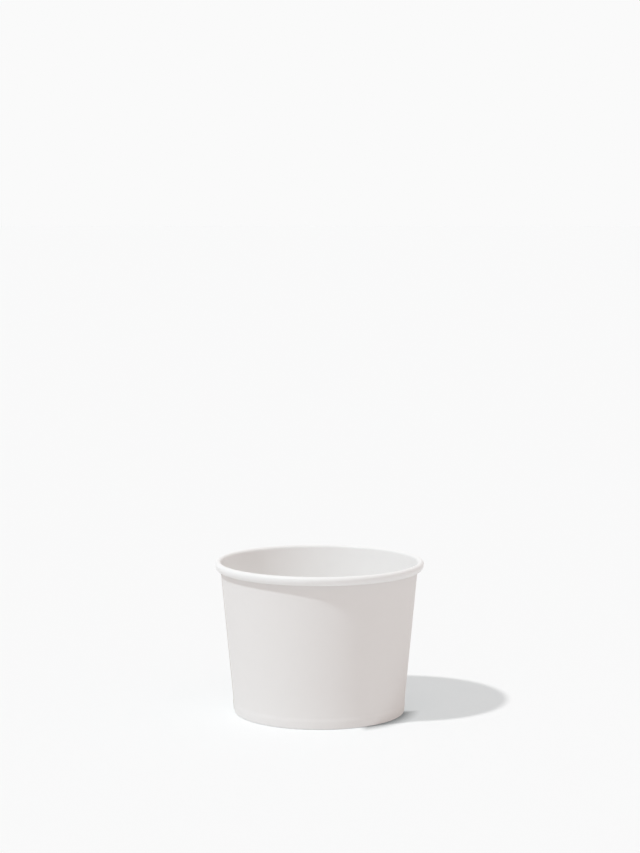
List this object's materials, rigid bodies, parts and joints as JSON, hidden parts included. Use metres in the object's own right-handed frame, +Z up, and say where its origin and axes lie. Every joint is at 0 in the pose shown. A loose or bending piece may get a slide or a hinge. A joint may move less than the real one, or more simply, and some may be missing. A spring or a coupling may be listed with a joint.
{
  "type": "paper soup container",
  "caption": "Squat tapered paperboard container with a rolled rim, a lapped side seam and a recessed bottom disc held in a folded foot, for hot food.",
  "frame": {"origin": "centre of the foot ring, on the surface that the container stands on", "axes": "+Z up along the container's axis, -Y to the side that the picture shows, side seam round the back of the left side (-X)"},
  "size_m": [0.098, 0.098, 0.0715],
  "materials": {
    "sidewall_board": "white coated board, matt outside with a faint sheen on the coated inside",
    "disc_board": "white coated board with a faint sheen"
  },
  "bodies": {
    "root": {"sidewall": "sidewall_board", "bottom_disc": "disc_board"}
  },
  "joints": []
}
